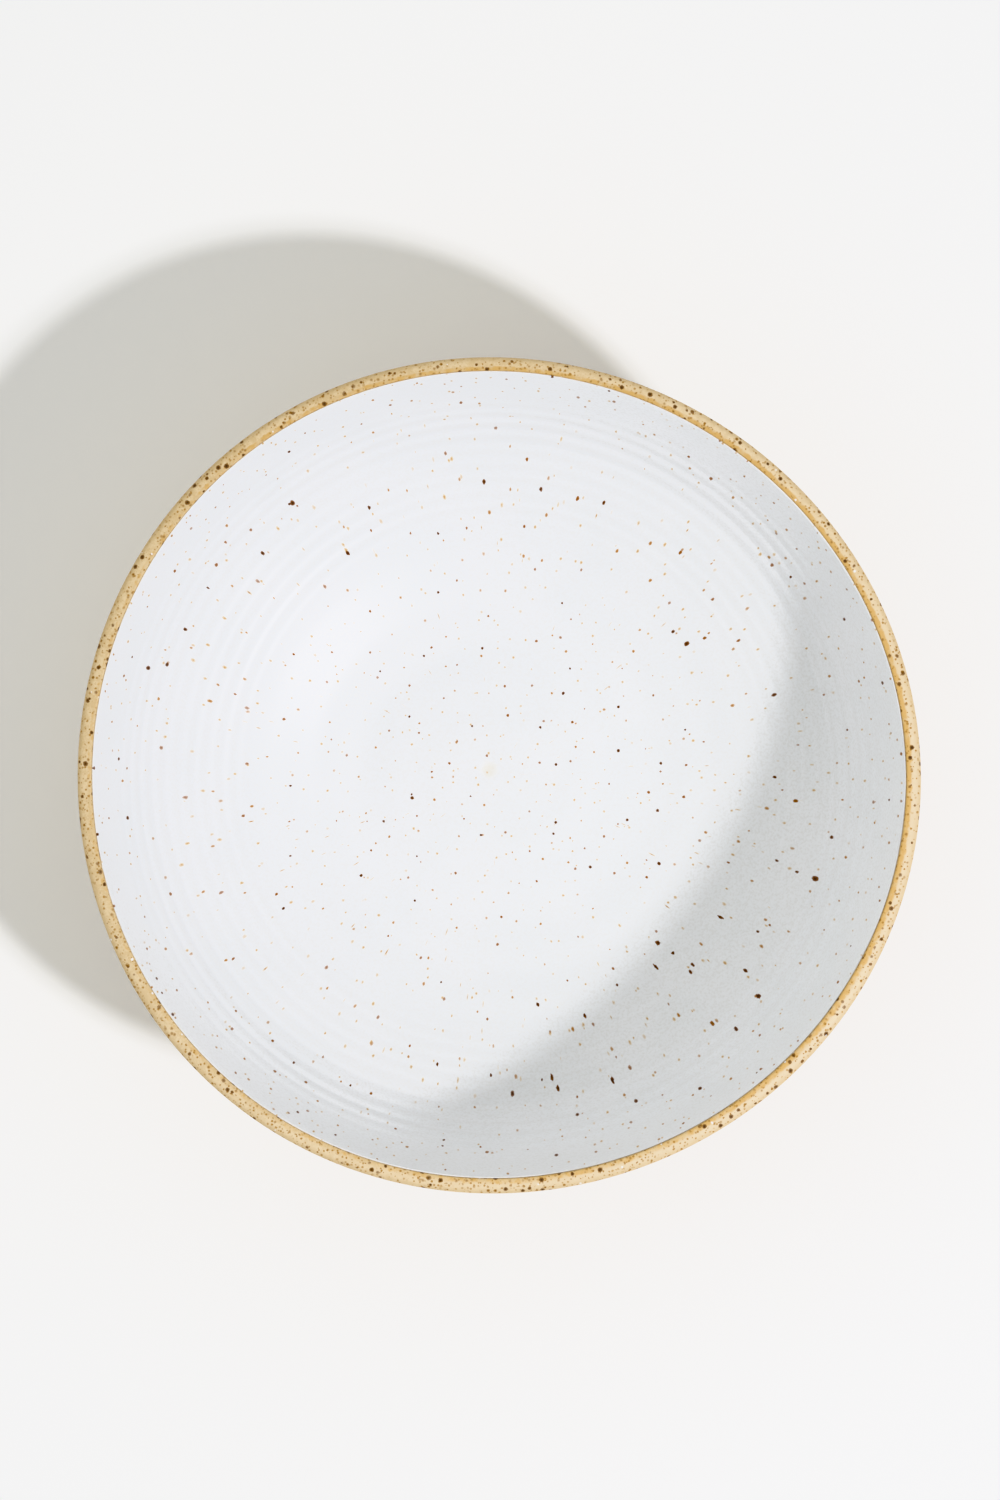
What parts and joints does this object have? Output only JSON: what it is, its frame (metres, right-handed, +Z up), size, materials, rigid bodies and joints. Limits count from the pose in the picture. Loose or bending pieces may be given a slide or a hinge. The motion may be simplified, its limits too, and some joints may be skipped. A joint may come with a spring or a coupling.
{
  "type": "salad bowl",
  "caption": "Wide hand-thrown stoneware salad bowl with a white glazed inside, a rounded bare clay lip, a bare outside and a turned foot ring, for serving food.",
  "frame": {"origin": "centre of the foot ring, on the surface that the bowl stands on", "axes": "+Z up, along the axis that the bowl was thrown on, out of its mouth; +X to the right of the picture and +Y towards its top"},
  "size_m": [0.2812, 0.2788, 0.1],
  "materials": {
    "stoneware": "bare buff stoneware, matt, with iron specks",
    "glaze": "satin white glaze with iron specks"
  },
  "bodies": {
    "root": {"stoneware_body": "stoneware", "glaze_lining": "glaze"}
  },
  "joints": []
}
